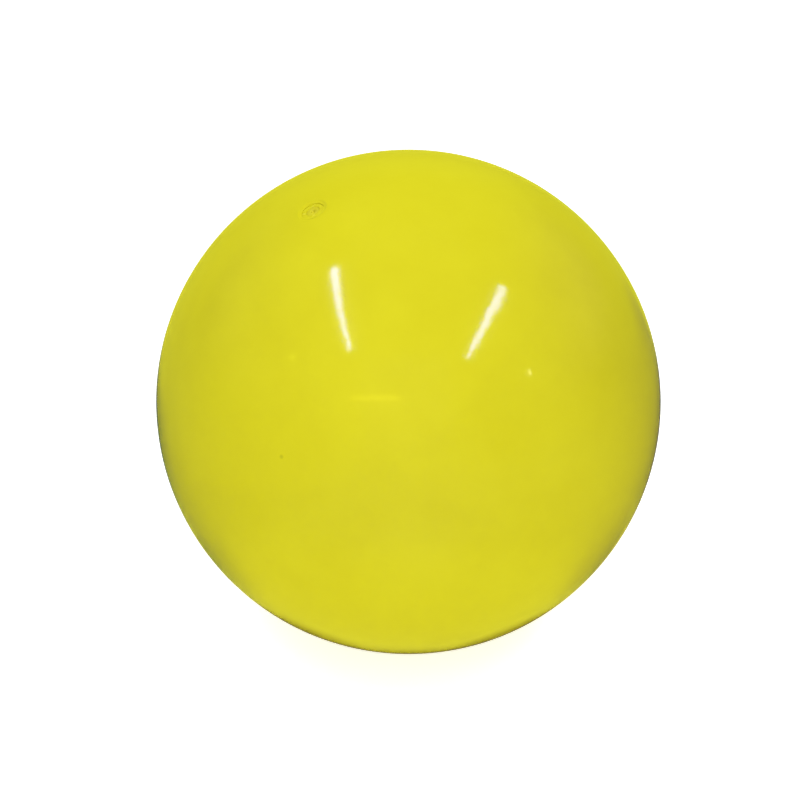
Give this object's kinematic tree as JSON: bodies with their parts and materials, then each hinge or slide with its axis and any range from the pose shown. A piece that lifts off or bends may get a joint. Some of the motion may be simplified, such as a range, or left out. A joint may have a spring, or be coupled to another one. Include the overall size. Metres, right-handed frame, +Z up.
{
  "type": "playground ball",
  "caption": "Inflated round playground ball with a smooth glossy rubber skin, wound carcass, air bladder and a flush needle valve whose insert pulls out.",
  "frame": {"origin": "middle of the ball", "axes": "+Z up, away from the small flat the ball rests on; the valve leans from +Z towards -X in the XZ plane; +Y away from the front"},
  "size_m": [0.2158, 0.2158, 0.2155],
  "materials": {
    "cover_rubber": "high gloss, smooth",
    "winding_thread": "matt wound nylon thread",
    "bladder_rubber": "satin black butyl",
    "valve_rubber": "satin, colour matched to the cover",
    "core_rubber": "satin soft gum rubber",
    "patch_rubber": "matt black"
  },
  "bodies": {
    "ball": {"outer_cover": "cover_rubber", "thread_winding": "winding_thread", "bladder": "bladder_rubber", "valve_housing": "valve_rubber", "valve_patch": "patch_rubber"},
    "valve_core": {"valve_core": "core_rubber"}
  },
  "joints": [
    {"name": "valve_core_pull", "type": "slide", "parent": "ball", "child": "valve_core", "axis": [-0.4039, 0, 0.9148], "range_m": [0, 0.018]}
  ]
}
